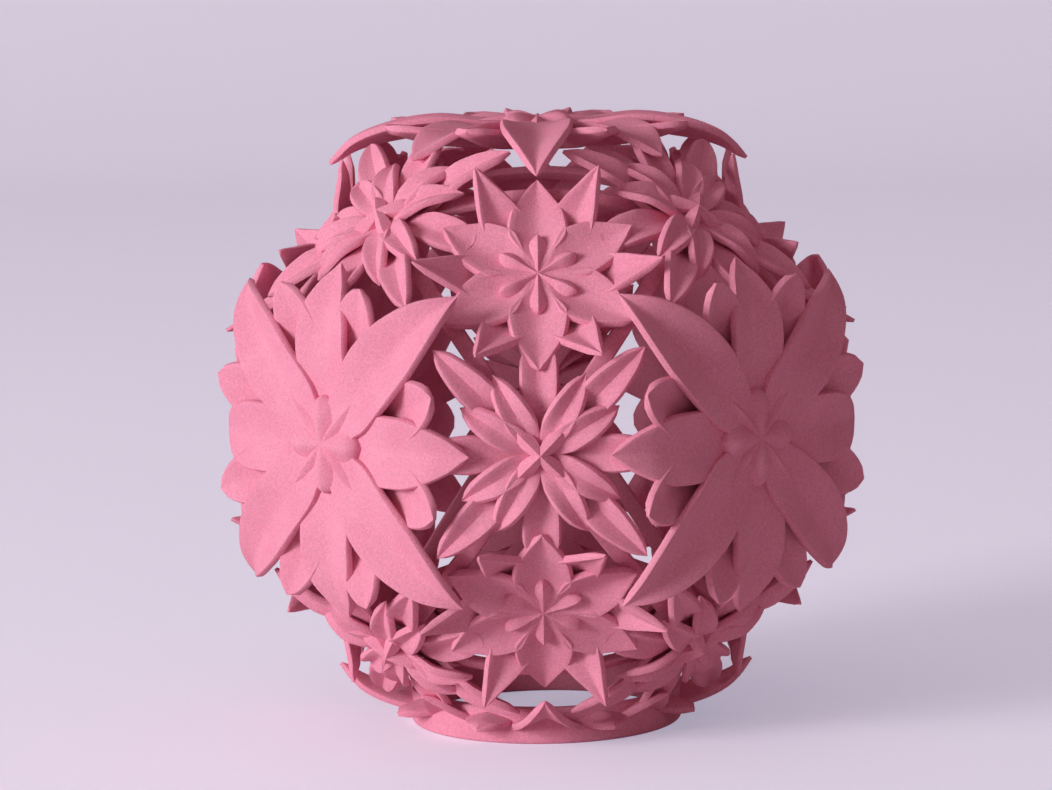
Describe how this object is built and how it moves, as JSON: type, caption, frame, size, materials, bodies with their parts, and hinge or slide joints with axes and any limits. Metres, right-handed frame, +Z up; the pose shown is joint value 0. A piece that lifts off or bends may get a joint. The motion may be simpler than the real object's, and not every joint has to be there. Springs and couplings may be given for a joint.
{
  "type": "openwork flower ball ornament",
  "caption": "Openwork ball of layered pointed flowers on a plain ring foot, made in one piece; stands on a table as an ornament or goes over a small light.",
  "frame": {"origin": "centre of the underside of the ring foot, on the surface that the ball stands on", "axes": "+Z up through the ball's centre; -Y is the front, with a star flower facing it; +X to the right"},
  "size_m": [0.0974, 0.0974, 0.0945],
  "materials": {
    "sintered_nylon": "dyed pink, fine grainy surface as sintered"
  },
  "bodies": {
    "root": {"flower_ball": "sintered_nylon"}
  },
  "joints": []
}
